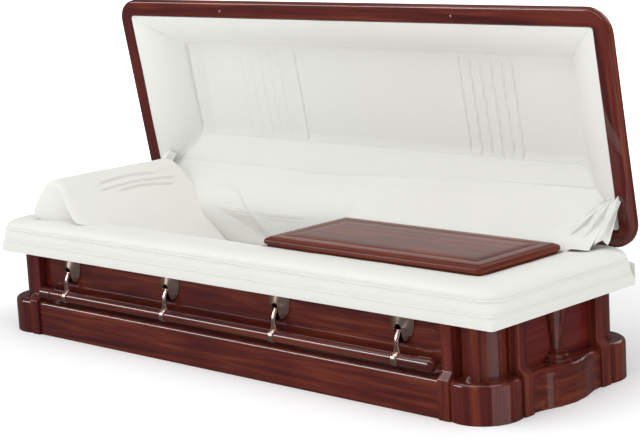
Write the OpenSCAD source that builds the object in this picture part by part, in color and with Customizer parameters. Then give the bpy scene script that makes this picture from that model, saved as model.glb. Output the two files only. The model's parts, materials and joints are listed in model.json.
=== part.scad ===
// Full-couch wooden casket with a hinged lid, swing-bar handles and a padded fabric interior.
// X runs along the length (foot end at +X), Y towards the hinge side, Z up.
// The origin is on the floor, under the middle of the body.

/* [Body] */
// Length of the body over its plinth faces
body_len = 2140; // [1950:10:2300]
// Width of the body over its plinth faces
body_wid = 690; // [640:5:760]
// Height of the walls, up to the underside of the top rail
shell_h = 315; // [290:5:360]
// Height of the rail round the top of the walls
rail_h = 20; // [12:1:30]
// Thickness of the side and end panels
wall_t = 20; // [14:1:26]
// Thickness of the floor board
floor_t = 18; // [12:1:26]
// Depth of the panels behind the pilaster shafts
recess = 28; // [24:1:36]

/* [Base moulding] */
// Height of the plinths and base boards
plinth_h = 115; // [95:1:125]
// Height of the slope between plinth and shaft
chamfer_h = 21; // [10:1:26]
// Set-back of the pilaster shafts behind the plinths
shaft_in = 20; // [12:1:24]
// Set-back of the base boards behind the plinths
board_in = 8; // [4:1:12]
// Radius of the rounded top edge of the base boards
board_r = 14; // [6:1:16]
// How far the end base boards bow outwards
bow = 30; // [0:1:45]

/* [Corners] */
// Width of each pilaster
pilaster_w = 38; // [28:1:48]
// Distance from the plinth face of a corner to its nearest pilaster
corner_w = 148; // [135:1:160]
// Distance of the column axis from both plinth faces
column_in = 108; // [102:1:112]
// Radius of the column shaft
column_r = 64; // [58:1:68]

/* [Panels] */
// Thickness of the raised field on the long panels
field_t = 6; // [3:1:9]
// Width of the bevel round the raised field
bevel_w = 30; // [15:1:40]
// Height of the bottom of the raised field's bevel
field_z = 150; // [135:1:170]

/* [End ornament] */
// Radius of the turned half vase at its mouth
vase_r = 46; // [34:1:47]
// Radius of the half vase at its neck
neck_r = 19; // [14:1:20]

/* [Handles] */
// Distance from each end of the bar to its nearest arm
end_arm = 137.5; // [100:0.5:180]
// Radius of the handle bar
bar_r = 17; // [13:1:19]
// Radius of the bar's end caps
cap_r = 20; // [18:1:22]
// Distance of the bar axis in front of the long panels
bar_out = 37; // [34:1:42]
// Height of the bar axis
bar_z = 148; // [144:1:156]
// Height of the arm pivots
pivot_z = 223; // [215:1:232]
// Radius of the pivot pins
pin_r = 3; // [2:0.5:3.5]
// Depth of the ears
ear_t = 18; // [17:1:20]
// Width of the ears at the top
ear_w = 92; // [80:1:100]
// Width of the arms
arm_w = 14; // [10:1:16]

/* [Lid] */
// How far the lid's ends stay inside the plinth faces
lid_inset = 17; // [0:1:30]
// How much wider the lid is than the body on each side
lid_over = 15; // [5:1:25]
// Radius of the lid's outer corners
lid_r = 80; // [40:1:110]
// Width of the rim face
rim_w = 54; // [40:1:64]
// Height of the square edge of the lid frame
edge_h = 25; // [18:1:34]
// Height of the crown over the rim plane
crown_h = 150; // [140:1:190]
// Thickness of the crown
crown_t = 14; // [10:1:16]
// Angle that the lid stands open
lid_open = 80.3; // [70:0.1:88]

/* [Interior] */
// Depth of the lid's quilted panel behind the rim plane
dish_d = 90; // [70:1:95]
// Thickness of the lid lining
lining_t = 10; // [5:1:12]
// Height that the fabric apron hangs down from the top of the rail
apron_drop = 65; // [50:1:80]
// Thickness of the padded roll on the rail
roll_t = 12; // [8:1:14]
// Width of the padded roll at the front
front_roll = 174; // [120:1:190]
// Width of the padded roll on the hinge side
back_roll = 80; // [60:1:90]
// Width of the padded roll at the head end
head_roll = 146; // [120:1:180]
// Width of the padded roll at the foot end
foot_roll = 181; // [140:1:200]
// Height of the top of the mattress
bed_z = 150; // [110:1:180]
// Length of the foot board
board_len = 861; // [700:1:1100]
// Thickness of the foot board over its flange
board_t = 41; // [30:1:44]
// Height of the pillow's crest over the floor
pillow_z = 500; // [450:1:520]

/* [Hidden] */
$fn = 96;

wood = "#6b2419";
dark_wood = "#4e1a16";
metal = "#d9a890";
cloth = "#f4f2ec";

half_x = body_len / 2;
half_y = body_wid / 2;
shaft_x = half_x - shaft_in;
shaft_y = half_y - shaft_in;
panel_x = shaft_x - recess;
panel_y = shaft_y - recess;
cavity_x = panel_x - wall_t;
cavity_y = panel_y - wall_t;
// Pilaster edges nearest to the corner
pil_x = half_x - corner_w;
pil_y = half_y - corner_w;
// Raised field of the long panels: gaps round it and its corner radii
field_top = 6;
field_in = 12;
field_r = 70;
inner_field_r = 44;
// Bowed end boards: shares of the width where the bow is flat and where it ends, and its fall
bow_flat = 0.14;
bow_tail = 0.94;
bow_dip = 0.12;
rail_z = shell_h + rail_h;
roll_z = rail_z + roll_t;
small_gap = 0.5;

// Hinge line and the lid's place around it
knuckle_r = 6;
knuckle_len = 40;
hinge_pin_r = 2.5;
run_gap = 0.06;
lid_back = knuckle_r + 2;
rim_gap = 4;
hinge_out = 36.5;
hinge_z = roll_z + rim_gap;
hinge_y = shaft_y + hinge_out;
lid_len = body_len - 2 * lid_inset;
lid_wid = body_wid + 2 * lid_over;
hinge_pitch = lid_len / 3;
// Insets of the crown's steps from the lid's edge, and their heights
crown_in = 3;
cove_in = 80;
cove_rise = 0.48;
dome_in = 180;
dome_drop = 12;
flat_in = 250;
// Insets of the lid lining's mouth and floor from the rim opening, and how far the floor sits low
dish_gap = 10;
dish_end = 146;
dish_side = 135;
dish_low = 22;

// Handle set
pivot_out = 10.5;
// The ears stand on the raised field
ear_y = panel_y + field_t;
pivot_y = ear_y + pivot_out;
bar_y = panel_y + bar_out;
bar_gap = 16;
bar_half = pil_x - pilaster_w - bar_gap;
cap_len = 62;
arm_pitch = (bar_half - end_arm) / 1.5;
collar_len = end_arm - cap_len;
eye_r = 6.5;
// Where the arm bends, as shares of the way from the pivot to the bar
arm_bend_out = 0.3;
arm_bend_down = 0.62;
slot_w = arm_w + 8;
slot_back = 3;
ring_r = bar_r + 3.5;
ear_top = 56;
ear_bottom = 36;

// Soft parts
apron_t = 6;
apron_gap = 3;
// Gap between the apron and the rail at the ends
apron_end_gap = 20;
apron_x = shaft_x + apron_end_gap + apron_t;
apron_y = shaft_y + apron_gap + apron_t;
apron_r = 60;
// Opening inside the roll
mouth_front = apron_y - front_roll;
mouth_back = shaft_y - back_roll;
mouth_head = apron_x - head_roll;
mouth_foot = apron_x - foot_roll;
// Flange under the foot board, lapping over the roll
flange_t = 10;
lap_foot = 25;
lap_front = 16;
lap_back = 10;
end_in = 14;
front_in = 4;
back_in = 51;
lay_gap = 0.3;
foot_z0 = roll_z + lay_gap;
pillow_foot = 460;
crest_w = 30;
// How far the pillow spreads over the roll, at the front and at the back
spread_front = 80;
spread_rear = 30;
skirt_t = 5;
// Half length of the space inside the lining, between the corner posts
bed_x = pil_x - 2 * small_gap - skirt_t;

// ---- shared shapes ----

// Rectangle with round corners, centred
module round_rect(len, wid, r) {
    square([len - 2 * r, wid], center = true);
    square([len, wid - 2 * r], center = true);
    for (sx = [-1, 1], sy = [-1, 1])
        translate([sx * (len / 2 - r), sy * (wid / 2 - r)])
            circle(r);
}

// Opening inside the walls, stepped in at the corner posts
module cavity_outline(inset) {
    square([2 * (pil_x - inset), 2 * (cavity_y - inset)], center = true);
    square([2 * (cavity_x - inset), 2 * (pil_y - inset)], center = true);
}

// Skin through a list of closed sections with equal numbers of points
module skin(sections) {
    n = len(sections[0]);
    m = len(sections);
    points = [for (s = sections) each s];
    sides = [for (i = [0 : m - 2], j = [0 : n - 1])
        [i * n + j, i * n + (j + 1) % n, (i + 1) * n + (j + 1) % n, (i + 1) * n + j]];
    first = [for (j = [n - 1 : -1 : 0]) j];
    last = [for (j = [0 : n - 1]) (m - 1) * n + j];
    polyhedron(points, concat(sides, [first], [last]), convexity = 6);
}

// Profile seen from the side: x is the distance from the body's middle plane, y the height
module along_x(len) {
    rotate([90, 0, 90])
        translate([0, 0, -len / 2])
            linear_extrude(len)
                children();
}

// ---- body ----

module floor_board() {
    color(dark_wood)
        linear_extrude(floor_t)
            cavity_outline(0);
}

// Long panel with a raised, bevelled field with round corners; side is -1 at the front
module long_panel(side) {
    len = 2 * (pil_x - pilaster_w);
    field_h = shell_h - field_z - field_top;
    field_len = len - 2 * field_in;
    color(wood) {
        translate([-len / 2, side > 0 ? cavity_y : -panel_y, 0])
            cube([len, wall_t, shell_h]);
        translate([0, side * (panel_y - 0.5), field_z + field_h / 2])
            rotate([90, 0, 0])
                scale([1, 1, -side])
                    hull() {
                        linear_extrude(0.5)
                            round_rect(field_len, field_h, field_r, $fn = 48);
                        linear_extrude(field_t + 0.5)
                            round_rect(
                                field_len - 2 * bevel_w, field_h - 2 * bevel_w, inner_field_r, $fn = 48);
                    }
    }
}

module end_panel(side) {
    len = 2 * (pil_y - pilaster_w);
    color(wood)
        translate([side > 0 ? cavity_x : -panel_x, -len / 2, 0])
            cube([wall_t, len, shell_h]);
}

// Three-quarter column on its round base, cut off flat against the pilasters
module column(sx, sy) {
    base_r = column_in;
    color(wood)
        intersection() {
            translate([sx * (half_x - column_in), sy * (half_y - column_in), 0])
                rotate_extrude($fn = 128)
                    union() {
                        square([base_r, plinth_h - board_r]);
                        square([base_r - board_r, plinth_h]);
                        translate([base_r - board_r, plinth_h - board_r])
                            circle(board_r, $fn = 64);
                        translate([0, plinth_h])
                            square([column_r + 5, 5]);
                        square([column_r, shell_h]);
                    }
            translate([sx > 0 ? pil_x : -half_x - 1, sy > 0 ? pil_y : -half_y - 1, 0])
                cube([corner_w + 1, corner_w + 1, shell_h]);
        }
}

// Side view of a pilaster: plinth, slope and shaft, from the inner face of the wall
module pilaster_profile(inner, face) {
    polygon([
        [inner, 0], [face, 0], [face, plinth_h],
        [face - shaft_in, plinth_h + chamfer_h], [face - shaft_in, shell_h], [inner, shell_h]]);
}

module side_pilaster(sx, sy) {
    color(wood)
        translate([sx * (pil_x - pilaster_w / 2), 0, 0])
            scale([1, sy, 1])
                along_x(pilaster_w)
                    pilaster_profile(cavity_y, half_y);
}

module end_pilaster(sx, sy) {
    color(wood)
        translate([0, sy * (pil_y - pilaster_w / 2), 0])
            scale([sx, 1, 1])
                rotate([0, 0, -90])
                    along_x(pilaster_w)
                        pilaster_profile(cavity_x, half_x);
}

module side_base_board(side) {
    depth = half_y - board_in - panel_y;
    color(wood)
        scale([1, side, 1])
            along_x(2 * (pil_x - pilaster_w))
                translate([panel_y, 0])
                    union() {
                        square([depth, plinth_h - board_r]);
                        square([depth - board_r, plinth_h]);
                        translate([depth - board_r, plinth_h - board_r])
                            circle(board_r);
                    }
}

// How far the serpentine face stands out at a distance y from the middle, from 0 to 1
function serpentine(y) =
    let (
        flat = bow_flat * pil_y,
        tail = bow_tail * (pil_y - pilaster_w))
    abs(y) <= flat ? 1 - bow_dip * pow(y / flat, 2)
    : abs(y) >= tail ? 0
    : (1 - bow_dip) * (1 + cos(180 * (abs(y) - flat) / (tail - flat))) / 2;

module end_base_board(side) {
    reach = pil_y - pilaster_w;
    steps = 40;
    top_r = board_r + 6;
    sections = [for (i = [0 : steps])
        let (
            y = reach * (1 - 2 * i / steps),
            face = half_x - board_in + bow * serpentine(y))
        concat(
            [[panel_x, y, plinth_h], [panel_x, y, 0], [face, y, 0]],
            [for (a = [0 : 15 : 90])
                [face - top_r + top_r * cos(a), y, plinth_h - top_r + top_r * sin(a)]])];
    color(wood)
        rotate([0, 0, side > 0 ? 0 : 180])
            skin(sections);
}

module top_rail() {
    color(wood)
        translate([0, 0, shell_h])
            linear_extrude(rail_h)
                difference() {
                    round_rect(2 * shaft_x, 2 * shaft_y, column_r + 16);
                    cavity_outline(0);
                }
}

// Half of a turned vase, flat against the end panel
module vase(side) {
    z0 = plinth_h;
    z1 = shell_h - 2;
    color(wood)
        intersection() {
            translate([side * panel_x, 0, 0])
                rotate_extrude()
                    polygon(concat(
                        [[0, z0], [vase_r + 5, z0], [vase_r + 5, z0 + 6]],
                        [[vase_r - 6, z0 + 11], [vase_r - 4, z0 + 15], [vase_r - 12, z0 + 21]],
                        [[neck_r + 6, z0 + 24], [neck_r + 9, z0 + 28], [neck_r + 2, z0 + 33]],
                        [for (i = [0 : 16])
                            let (t = i / 16)
                            [neck_r + (vase_r - neck_r) * pow(t, 1.2), z0 + 36 + (z1 - z0 - 36) * t]],
                        [[0, z1]]));
            translate([side > 0 ? panel_x : -panel_x - 60, -60, 0])
                cube([60, 120, shell_h]);
        }
}

// ---- handles ----

// Places a shape, drawn for the front side, at one of the four arm stations
module at_station(side, i) {
    translate([(i - 2.5) * arm_pitch, 0, 0])
        scale([1, -side, 1])
            children();
}

// Shield-shaped ear with a slot for the arm and a pin across it
module ear(side, i) {
    color(metal)
        at_station(side, i) {
            difference() {
                translate([0, -ear_y, 0])
                    rotate([90, 0, 0])
                        linear_extrude(ear_t)
                            ear_outline();
                translate([-slot_w / 2, -ear_y - ear_t - 1, pivot_z - ear_bottom - 1])
                    cube([slot_w, ear_t + 1 - slot_back, ear_bottom + 1]);
                translate([0, -ear_y - slot_back, pivot_z])
                    rotate([90, 0, 0])
                        cylinder(h = ear_t, r = slot_w / 2);
            }
            translate([-slot_w / 2 - 2, -pivot_y, pivot_z])
                rotate([0, 90, 0])
                    cylinder(h = slot_w + 4, r = pin_r);
        }
}

module ear_outline() {
    polygon([
        [-ear_w / 2, pivot_z + ear_top - 6], [-ear_w / 2 + 6, pivot_z + ear_top],
        [ear_w / 2 - 6, pivot_z + ear_top], [ear_w / 2, pivot_z + ear_top - 6],
        [ear_w / 2 - 3, pivot_z + 35], [ear_w / 2 - 16, pivot_z - 8],
        [slot_w / 2 + 4, pivot_z - ear_bottom], [-slot_w / 2 - 4, pivot_z - ear_bottom],
        [-ear_w / 2 + 16, pivot_z - 8], [-ear_w / 2 + 3, pivot_z + 35]]);
}

// Curved arm with an eye on the pin and a ring round the bar
module arm(side, i) {
    mid_y = -(pivot_y + arm_bend_out * (bar_y - pivot_y));
    mid_z = pivot_z + arm_bend_down * (bar_z - pivot_z);
    color(metal)
        at_station(side, i)
            difference() {
                union() {
                    arm_disc(-pivot_y, pivot_z, eye_r, arm_w);
                    hull() {
                        arm_disc(-pivot_y, pivot_z, eye_r - 1, arm_w);
                        arm_disc(mid_y, mid_z, eye_r - 1, arm_w - 2);
                    }
                    hull() {
                        arm_disc(mid_y, mid_z, eye_r - 1, arm_w - 2);
                        arm_disc(-bar_y, bar_z + bar_r, 5, arm_w + 4);
                    }
                    arm_disc(-bar_y, bar_z, ring_r, arm_w + 4);
                }
                arm_disc(-pivot_y, pivot_z, pin_r + run_gap, arm_w + 9);
                arm_disc(-bar_y, bar_z, bar_r + run_gap, arm_w + 9);
            }
}

module arm_disc(y, z, r, w) {
    translate([-w / 2, y, z])
        rotate([0, 90, 0])
            cylinder(h = w, r = r, $fn = r > 10 ? 96 : 32);
}

module bar(side) {
    len = 2 * (1.5 * arm_pitch + collar_len);
    color(wood)
        translate([-len / 2, side * bar_y, bar_z])
            rotate([0, 90, 0])
                cylinder(h = len, r = bar_r);
}

// Turned end cap of the bar
module cap(side, dir) {
    inner = 1.5 * arm_pitch + collar_len + 0.05;
    color(wood)
        translate([dir * inner, side * bar_y, bar_z])
            rotate([0, dir * 90, 0])
                rotate_extrude()
                    polygon([
                        [0, 0], [cap_r - 2, 0], [cap_r, 2], [cap_r, cap_len - 12],
                        [cap_r - 3, cap_len - 6], [cap_r - 9, cap_len], [0, cap_len]]);
}

// ---- lid ----

// Puts a shape drawn shut, with the hinge line at the origin, into the open position
module lid_place() {
    translate([0, hinge_y, hinge_z])
        rotate([-lid_open, 0, 0])
            children();
}

// Lid outline drawn shut, narrowed all round by an inset
module lid_outline(inset) {
    translate([0, -lid_back - lid_wid / 2])
        round_rect(lid_len - 2 * inset, lid_wid - 2 * inset, max(lid_r - inset, 12), $fn = 48);
}

module lid_frame() {
    color(wood)
        lid_place()
            linear_extrude(edge_h)
                difference() {
                    lid_outline(0);
                    translate([0, -lid_back - lid_wid / 2])
                        square([lid_len - 2 * rim_w, lid_wid - 2 * rim_w], center = true);
                }
}

// Solid form of the crown: a steep moulding and a low dome; sunk is the wall thickness
module crown_form(sunk) {
    z_low = sunk > 0 ? -1 : 0;
    hull() {
        translate([0, 0, edge_h + z_low])
            linear_extrude(1)
                lid_outline(crown_in + sunk * 1.5);
        translate([0, 0, edge_h + cove_rise * (crown_h - edge_h) - sunk])
            linear_extrude(1)
                lid_outline(cove_in + sunk * 0.5);
        translate([0, 0, crown_h - dome_drop - sunk])
            linear_extrude(1)
                lid_outline(dome_in);
        translate([0, 0, crown_h - 1 - sunk])
            linear_extrude(1)
                lid_outline(flat_in);
    }
}

module lid_crown() {
    color(wood)
        lid_place()
            difference() {
                crown_form(0);
                crown_form(crown_t);
            }
}

// Frustum between the rim opening and the quilted panel
module dish_form(grow, depth) {
    edge = lid_wid / 2 - rim_w;
    half_len = lid_len / 2 - rim_w;
    hull() {
        translate([0, -lid_back - lid_wid / 2, 1])
            linear_extrude(0.5)
                square([2 * (half_len - dish_gap + grow), 2 * (edge - dish_gap + grow)], center = true);
        translate([0, -lid_back - lid_wid / 2 - dish_low, depth - 0.5])
            linear_extrude(0.5)
                square([2 * (half_len - dish_end + grow), 2 * (edge - dish_side + grow)], center = true);
    }
}

module lid_lining() {
    color(cloth)
        lid_place()
            difference() {
                dish_form(lining_t - small_gap, dish_d + lining_t);
                translate([0, 0, -0.01])
                    dish_form(0, dish_d);
                translate([-lid_len / 2, -lid_wid, 0])
                    cube([lid_len, lid_wid, 1.5]);
            }
}

// Body half of a hinge: bracket on the back of the rail, two knuckles and the pin
module hinge_body(i) {
    x = (i - 2) * hinge_pitch;
    bracket_len = knuckle_len * 0.6;
    color(metal)
        translate([x, 0, 0]) {
            for (s = [-1, 1])
                translate([s * (knuckle_len / 2 + small_gap + bracket_len / 2), 0, 0]) {
                    along_x(bracket_len)
                        polygon([
                            [shaft_y, shell_h + 2], [shaft_y + 4, shell_h + 2],
                            [hinge_y + knuckle_r * 0.7, hinge_z - knuckle_r * 0.7],
                            [hinge_y - knuckle_r * 0.5, hinge_z - knuckle_r * 0.6],
                            [shaft_y, rail_z - 3]]);
                    translate([-bracket_len / 2, hinge_y, hinge_z])
                        rotate([0, 90, 0])
                            cylinder(h = bracket_len, r = knuckle_r);
                }
            translate([-knuckle_len / 2 - bracket_len, hinge_y, hinge_z])
                rotate([0, 90, 0])
                    cylinder(h = knuckle_len + 2 * bracket_len, r = hinge_pin_r);
            along_x(knuckle_len + 2 * bracket_len)
                translate([shaft_y, shell_h + 2])
                    square([4, rail_h - 6]);
        }
}

// Lid half of a hinge: leaf on the lid's back edge and one knuckle
module hinge_lid(i) {
    x = (i - 2) * hinge_pitch;
    color(metal)
        lid_place()
            translate([x, 0, 0])
                difference() {
                    union() {
                        translate([-knuckle_len / 2, 0, 0])
                            rotate([0, 90, 0])
                                cylinder(h = knuckle_len, r = knuckle_r);
                        translate([-knuckle_len / 2, -lid_back, -1])
                            cube([knuckle_len, 4, edge_h - 3]);
                    }
                    translate([-knuckle_len, 0, 0])
                        rotate([0, 90, 0])
                            cylinder(h = 2 * knuckle_len, r = hinge_pin_r + run_gap);
                }
}

// ---- interior ----

// Padded roll on the rail, with the apron hanging outside on the front and both ends
module apron() {
    color(cloth) {
        difference() {
            translate([0, 0, rail_z - apron_drop])
                linear_extrude(apron_drop + roll_t)
                    intersection() {
                        round_rect(2 * apron_x, 2 * apron_y, apron_r);
                        translate([-apron_x, -apron_y])
                            square([2 * apron_x, apron_y + shaft_y - 1]);
                    }
            translate([0, 0, rail_z - apron_drop - 1])
                linear_extrude(apron_drop + 1)
                    union() {
                        round_rect(2 * (apron_x - apron_t), 2 * (apron_y - apron_t), apron_r - apron_t);
                        translate([-apron_x + apron_t, 0])
                            square([2 * (apron_x - apron_t), apron_y]);
                    }
            translate([-mouth_head, -mouth_front, rail_z - 1])
                cube([mouth_head + mouth_foot, mouth_front + mouth_back, roll_t + 2]);
        }
    }
}

// Fabric skirt along the inside of the walls
module body_lining() {
    color(cloth)
        translate([0, 0, floor_t + small_gap])
            linear_extrude(rail_z - floor_t - 2 * small_gap)
                difference() {
                    cavity_outline(small_gap);
                    cavity_outline(small_gap + skirt_t);
                }
}

module mattress() {
    inset = small_gap + skirt_t + small_gap;
    color(cloth)
        translate([0, 0, floor_t + lay_gap])
            linear_extrude(bed_z - floor_t - lay_gap)
                square([2 * bed_x, 2 * (cavity_y - inset)], center = true);
}

// Side view of the wedge: x along the body, y the height
module pillow_profile() {
    head = mouth_head - small_gap;
    polygon([
        [-bed_x, bed_z + lay_gap], [-pillow_foot, bed_z + lay_gap], [-pillow_foot - 10, bed_z + 25],
        [-head + 2 * crest_w, pillow_z - crest_w * 0.4], [-head + crest_w, pillow_z],
        [-head - 5, pillow_z - crest_w / 2], [-head - crest_w / 2, pillow_z - 3 * crest_w],
        [-head - 5, roll_z + lay_gap], [-bed_x, roll_z + lay_gap]]);
}

// Wedge pillow: it stands on the mattress inside the roll and spreads out over it
module pillow() {
    front = mouth_front - small_gap;
    rear = mouth_back - small_gap;
    color(cloth) {
        intersection() {
            translate([0, rear, 0])
                rotate([90, 0, 0])
                    linear_extrude(front + rear)
                        pillow_profile();
            translate([-half_x, -half_y, 0])
                cube([half_x, body_wid, roll_z + 1]);
        }
        intersection() {
            translate([0, rear + spread_rear, 0])
                rotate([90, 0, 0])
                    linear_extrude(front + rear + spread_front + spread_rear)
                        pillow_profile();
            translate([-half_x, -half_y, roll_z + lay_gap])
                cube([half_x, body_wid, pillow_z]);
        }
    }
}

// Foot board: moulded panel on a thin flange that lies on the roll
module foot_board() {
    x1 = mouth_foot + lap_foot;
    x0 = x1 - board_len - 2 * end_in;
    y0 = -mouth_front - lap_front;
    y1 = mouth_back + lap_back;
    edge = 9;
    color(wood) {
        translate([x0, y0, foot_z0])
            cube([x1 - x0, y1 - y0, flange_t]);
        hull() {
            board_slab(x0, x1, y0, y1, 3, 0, 2);
            board_slab(x0, x1, y0, y1, 0, 6, board_t - edge - 2);
            board_slab(x0, x1, y0, y1, 3, board_t - edge + 2, 3);
            board_slab(x0, x1, y0, y1, edge, board_t - 4, 4);
        }
    }
}

// One layer of the foot board's moulded edge
module board_slab(x0, x1, y0, y1, inset, z, t) {
    translate([x0 + end_in + inset, y0 + front_in + inset, foot_z0 + flange_t + z])
        cube([x1 - x0 - 2 * (end_in + inset), y1 - y0 - front_in - back_in - 2 * inset, t]);
}

floor_board();
long_panel(-1);  // front_panel
long_panel(1);  // back_panel
end_panel(-1);  // head_panel
end_panel(1);  // foot_panel
column(-1, -1);  // column_1
column(1, -1);  // column_2
column(1, 1);  // column_3
column(-1, 1);  // column_4
side_pilaster(-1, -1);  // pilaster_1
side_pilaster(1, -1);  // pilaster_2
end_pilaster(1, -1);  // pilaster_3
end_pilaster(1, 1);  // pilaster_4
side_pilaster(1, 1);  // pilaster_5
side_pilaster(-1, 1);  // pilaster_6
end_pilaster(-1, 1);  // pilaster_7
end_pilaster(-1, -1);  // pilaster_8
side_base_board(-1);  // front_base_board
side_base_board(1);  // back_base_board
end_base_board(-1);  // head_base_board
end_base_board(1);  // foot_base_board
top_rail();
vase(-1);  // head_vase
vase(1);  // foot_vase
ear(-1, 1);  // front_ear_1
ear(-1, 2);  // front_ear_2
ear(-1, 3);  // front_ear_3
ear(-1, 4);  // front_ear_4
ear(1, 1);  // back_ear_1
ear(1, 2);  // back_ear_2
ear(1, 3);  // back_ear_3
ear(1, 4);  // back_ear_4
arm(-1, 1);  // front_arm_1
arm(-1, 2);  // front_arm_2
arm(-1, 3);  // front_arm_3
arm(-1, 4);  // front_arm_4
arm(1, 1);  // back_arm_1
arm(1, 2);  // back_arm_2
arm(1, 3);  // back_arm_3
arm(1, 4);  // back_arm_4
bar(-1);  // front_bar
bar(1);  // back_bar
cap(-1, -1);  // front_cap_head
cap(-1, 1);  // front_cap_foot
cap(1, -1);  // back_cap_head
cap(1, 1);  // back_cap_foot
lid_frame();
lid_crown();
lid_lining();
hinge_body(1);  // hinge_body_1
hinge_body(2);  // hinge_body_2
hinge_body(3);  // hinge_body_3
hinge_lid(1);  // hinge_lid_1
hinge_lid(2);  // hinge_lid_2
hinge_lid(3);  // hinge_lid_3
apron();
body_lining();
mattress();
pillow();
foot_board();
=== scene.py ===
"""A funeral casket with its one-piece lid open: gloss hardwood, padded interior and swing bars."""

import json
import math

import bmesh
import bpy
import numpy as np
from mathutils import Matrix, Vector, noise

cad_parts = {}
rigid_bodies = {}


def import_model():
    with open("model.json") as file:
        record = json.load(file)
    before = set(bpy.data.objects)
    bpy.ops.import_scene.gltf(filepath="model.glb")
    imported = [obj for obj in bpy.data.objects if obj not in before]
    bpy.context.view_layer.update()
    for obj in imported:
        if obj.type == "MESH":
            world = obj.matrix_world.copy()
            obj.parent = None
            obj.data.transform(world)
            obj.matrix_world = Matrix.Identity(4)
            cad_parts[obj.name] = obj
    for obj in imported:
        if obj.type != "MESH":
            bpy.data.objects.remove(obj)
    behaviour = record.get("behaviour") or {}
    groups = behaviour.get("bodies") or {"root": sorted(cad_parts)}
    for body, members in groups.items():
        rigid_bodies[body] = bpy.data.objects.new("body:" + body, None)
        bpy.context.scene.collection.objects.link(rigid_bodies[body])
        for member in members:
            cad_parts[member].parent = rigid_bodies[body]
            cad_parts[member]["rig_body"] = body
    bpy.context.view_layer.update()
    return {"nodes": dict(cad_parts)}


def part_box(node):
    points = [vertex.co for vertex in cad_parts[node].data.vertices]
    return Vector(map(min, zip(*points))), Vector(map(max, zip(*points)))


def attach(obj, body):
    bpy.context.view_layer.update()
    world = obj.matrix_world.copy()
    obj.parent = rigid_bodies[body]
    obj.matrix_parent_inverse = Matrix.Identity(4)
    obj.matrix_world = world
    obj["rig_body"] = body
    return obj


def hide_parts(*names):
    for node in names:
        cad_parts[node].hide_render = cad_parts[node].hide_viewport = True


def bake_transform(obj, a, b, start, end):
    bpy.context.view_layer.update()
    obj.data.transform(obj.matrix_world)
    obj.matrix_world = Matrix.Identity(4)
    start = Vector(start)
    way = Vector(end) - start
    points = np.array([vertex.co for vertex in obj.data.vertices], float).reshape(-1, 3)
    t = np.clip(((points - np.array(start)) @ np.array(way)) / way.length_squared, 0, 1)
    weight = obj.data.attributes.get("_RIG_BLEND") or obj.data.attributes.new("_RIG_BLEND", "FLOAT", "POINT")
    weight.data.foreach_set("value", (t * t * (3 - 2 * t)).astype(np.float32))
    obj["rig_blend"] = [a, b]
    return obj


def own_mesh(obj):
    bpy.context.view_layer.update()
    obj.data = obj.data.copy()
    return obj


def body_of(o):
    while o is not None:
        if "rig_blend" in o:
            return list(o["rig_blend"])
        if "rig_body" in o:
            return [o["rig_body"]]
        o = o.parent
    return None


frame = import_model()

# Boxes of the CAD nodes that the soft parts are built around, in metres
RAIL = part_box("top_rail")
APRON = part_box("apron")
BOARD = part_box("foot_board")
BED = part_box("mattress")
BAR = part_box("front_bar")
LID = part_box("lid_frame")

# How far the foot board's raised part lies in from the board's box, and the width of its border strip
BOARD_END_IN = 0.014
BOARD_FRONT_IN = 0.004
BOARD_BACK_IN = 0.051
STRIP_WIDTH = 0.048

# The lid's hinge line and opening angle, its size in its own plane, and its rim's width and depth
HINGE_Y, HINGE_Z = 0.3615, 0.351
LID_ANGLE = math.radians(80.3)
LID_X = LID[1].x
LID_BACK = 0.008
LID_WIDTH = 0.720
RIM = 0.054
EDGE = 0.025


# ---------------------------------------------------------------- mesh tools

def smooth_step(edge0, edge1, value):
    t = np.clip((np.asarray(value, float) - edge0) / (edge1 - edge0), 0, 1)
    return t * t * (3 - 2 * t)


def mesh_object(name, points, faces, grain=None):
    mesh = bpy.data.meshes.new(name)
    mesh.from_pydata([tuple(p) for p in np.asarray(points, float)], [], faces)
    mesh.update()
    obj = bpy.data.objects.new(name, mesh)
    bpy.context.collection.objects.link(obj)
    mesh.shade_smooth()
    if grain is not None:
        attribute = mesh.attributes.new("grain", "FLOAT_VECTOR", "POINT")
        attribute.data.foreach_set("vector", np.asarray(grain, np.float32).ravel())
    return obj


def grid_faces(rows, cols, close_rows=False, close_cols=False):
    faces = []
    for i in range(rows if close_rows else rows - 1):
        for j in range(cols if close_cols else cols - 1):
            k, m = (i + 1) % rows, (j + 1) % cols
            faces.append((i * cols + j, i * cols + m, k * cols + m, k * cols + j))
    return faces


def loft(name, rings, close_rows=False, caps=False, grain=None):
    """A skin through closed rings with equal numbers of points."""
    rings = np.asarray(rings, float)
    rows, cols = rings.shape[:2]
    points = list(rings.reshape(-1, 3))
    faces = grid_faces(rows, cols, close_rows, True)
    if caps:
        for row, flip in ((0, True), (rows - 1, False)):
            middle = len(points)
            points.append(rings[row].mean(axis=0))
            for j in range(cols):
                a, b = row * cols + j, row * cols + (j + 1) % cols
                faces.append((b, a, middle) if flip else (a, b, middle))
        if grain is not None:
            ends = [np.asarray(grain)[row * cols] for row in (0, rows - 1)]
            grain = np.vstack([grain, ends])
    obj = mesh_object(name, points, faces, grain)
    outward(obj)
    return obj


def outward(obj):
    bm = bmesh.new()
    bm.from_mesh(obj.data)
    bmesh.ops.recalc_face_normals(bm, faces=bm.faces)
    bm.to_mesh(obj.data)
    bm.free()


def sheet_object(name, points, thickness):
    """An open sheet of cloth through a grid of points, given a thickness."""
    points = np.asarray(points, float)
    rows, cols = points.shape[:2]
    obj = mesh_object(name, points.reshape(-1, 3), grid_faces(rows, cols))
    shell = obj.modifiers.new("thickness", "SOLIDIFY")
    shell.thickness = thickness
    shell.offset = 0
    return obj


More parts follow.
